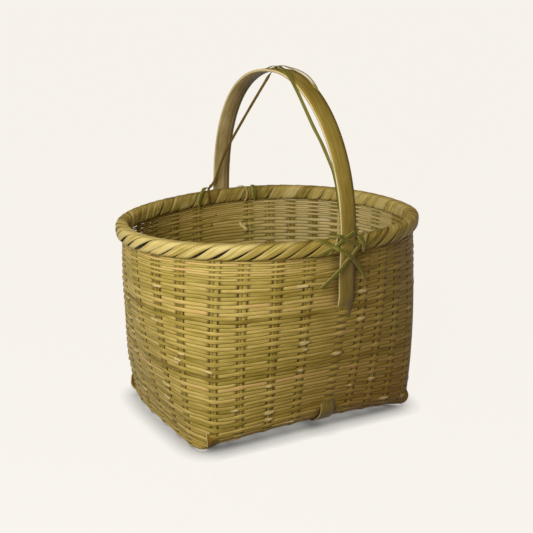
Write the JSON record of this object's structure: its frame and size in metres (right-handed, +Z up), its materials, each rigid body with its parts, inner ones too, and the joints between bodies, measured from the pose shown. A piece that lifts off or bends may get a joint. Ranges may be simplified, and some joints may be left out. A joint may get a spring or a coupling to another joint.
{
  "type": "bamboo shopping basket",
  "caption": "Oval-mouthed woven bamboo basket on a rectangular raised base, with a bound hoop rim and one tall bent handle.",
  "frame": {"origin": "on the ground under the centre of the bounding box", "axes": "+X along the basket, +Y across it towards the far side, with the handle's arch in a YZ plane, +Z up"},
  "size_m": [0.33, 0.2668, 0.3607],
  "materials": {
    "woven_bamboo": "natural split bamboo",
    "splint_bamboo": "natural split bamboo",
    "handle_bamboo": "smooth bamboo skin",
    "tie_bamboo": "green bamboo skin"
  },
  "bodies": {
    "root": {"woven_wall": "woven_bamboo", "fine_top_band": "woven_bamboo", "outer_hoop": "splint_bamboo", "inner_hoop": "splint_bamboo", "handle": "handle_bamboo", "rising_brace": "handle_bamboo", "falling_brace": "handle_bamboo", "rim_wrap_1": "handle_bamboo", "rim_wrap_2": "handle_bamboo", "rim_wrap_3": "handle_bamboo", "rim_wrap_4": "handle_bamboo", "cross_stake_1_narrow": "splint_bamboo", "cross_stake_1_wide": "splint_bamboo", "cross_stake_2_narrow": "splint_bamboo", "cross_stake_2_wide": "splint_bamboo", "cross_stake_3_narrow": "splint_bamboo", "cross_stake_3_wide": "splint_bamboo", "cross_stake_4_narrow": "splint_bamboo", "cross_stake_4_wide": "splint_bamboo", "cross_stake_5_narrow": "splint_bamboo", "cross_stake_5_wide": "splint_bamboo", "cross_stake_6_narrow": "splint_bamboo", "cross_stake_6_wide": "splint_bamboo", "cross_stake_7_narrow": "splint_bamboo", "cross_stake_7_wide": "splint_bamboo", "cross_stake_8_narrow": "splint_bamboo", "cross_stake_8_wide": "splint_bamboo", "long_stake_1_narrow": "splint_bamboo", "long_stake_1_wide": "splint_bamboo", "long_stake_2_narrow": "splint_bamboo", "long_stake_2_wide": "splint_bamboo", "long_stake_3_narrow": "splint_bamboo", "long_stake_3_wide": "splint_bamboo", "long_stake_4_narrow": "splint_bamboo", "long_stake_4_wide": "splint_bamboo", "long_stake_5_narrow": "splint_bamboo", "long_stake_5_wide": "splint_bamboo", "long_stake_6_narrow": "splint_bamboo", "long_stake_6_wide": "splint_bamboo", "near_lashing_rising": "tie_bamboo", "near_lashing_falling": "tie_bamboo", "near_rim_tie": "tie_bamboo", "far_lashing_rising": "tie_bamboo", "far_lashing_falling": "tie_bamboo", "far_rim_tie": "tie_bamboo", "near_loose_end_left": "tie_bamboo", "near_loose_end_right": "tie_bamboo", "handle_spiral_tie": "tie_bamboo", "handle_top_tie": "tie_bamboo"}
  },
  "joints": []
}
